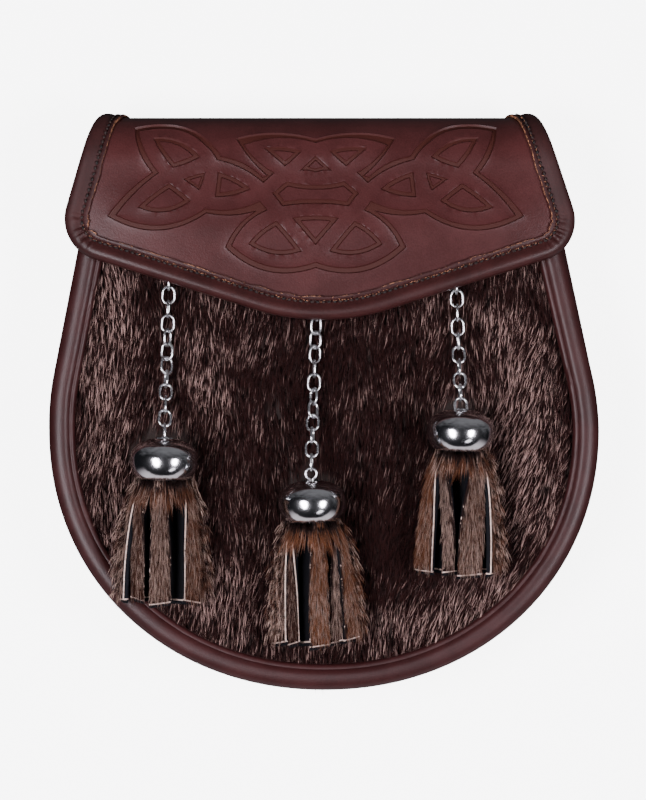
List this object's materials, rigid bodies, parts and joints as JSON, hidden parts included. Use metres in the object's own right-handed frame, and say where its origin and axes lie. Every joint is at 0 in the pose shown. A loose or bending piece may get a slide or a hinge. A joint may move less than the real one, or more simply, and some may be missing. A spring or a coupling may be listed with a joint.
{
  "type": "sporran pouch",
  "caption": "Rounded leather pouch with a fur front, a folded flap with pressed knotwork and chain tassels, lying on its back.",
  "frame": {"origin": "centre of the pouch's bounding box, at the level of the surface it lies on", "axes": "+X to the right seen from the front, +Y up towards the top fold, +Z out of the fur front"},
  "size_m": [0.192, 0.2004, 0.0545],
  "materials": {
    "leather": "dark red-brown leather, satin, fine grain",
    "flap_leather": "red-brown leather with pressed interlace lines, satin",
    "fur": "dark brown fur with tan tips",
    "tassel_fur": "fur strips cut from hide, with pale cut edges",
    "chrome": "bright plating"
  },
  "bodies": {
    "root": {"back_panel": "leather", "back_rim": "leather", "front_rim": "leather", "gusset": "leather", "belt_loop_left": "leather", "belt_loop_right": "leather", "flap_binding": "leather", "flap": "flap_leather", "front_panel": "fur", "staple_left": "chrome", "chain_left_link_01": "chrome", "chain_left_link_02": "chrome", "chain_left_link_03": "chrome", "chain_left_link_04": "chrome", "chain_left_link_05": "chrome", "chain_left_link_06": "chrome", "chain_left_link_07": "chrome", "chain_left_link_08": "chrome", "chain_left_link_09": "chrome", "chain_left_link_10": "chrome", "chain_left_link_11": "chrome", "chain_left_link_12": "chrome", "tassel_eye_left": "chrome", "tassel_cap_left": "chrome", "tassel_left": "tassel_fur", "staple_centre": "chrome", "chain_centre_link_01": "chrome", "chain_centre_link_02": "chrome", "chain_centre_link_03": "chrome", "chain_centre_link_04": "chrome", "chain_centre_link_05": "chrome", "chain_centre_link_06": "chrome", "chain_centre_link_07": "chrome", "chain_centre_link_08": "chrome", "chain_centre_link_09": "chrome", "chain_centre_link_10": "chrome", "chain_centre_link_11": "chrome", "chain_centre_link_12": "chrome", "tassel_eye_centre": "chrome", "tassel_cap_centre": "chrome", "tassel_centre": "tassel_fur", "staple_right": "chrome", "chain_right_link_01": "chrome", "chain_right_link_02": "chrome", "chain_right_link_03": "chrome", "chain_right_link_04": "chrome", "chain_right_link_05": "chrome", "chain_right_link_06": "chrome", "chain_right_link_07": "chrome", "chain_right_link_08": "chrome", "chain_right_link_09": "chrome", "chain_right_link_10": "chrome", "tassel_eye_right": "chrome", "tassel_cap_right": "chrome", "tassel_right": "tassel_fur"}
  },
  "joints": []
}
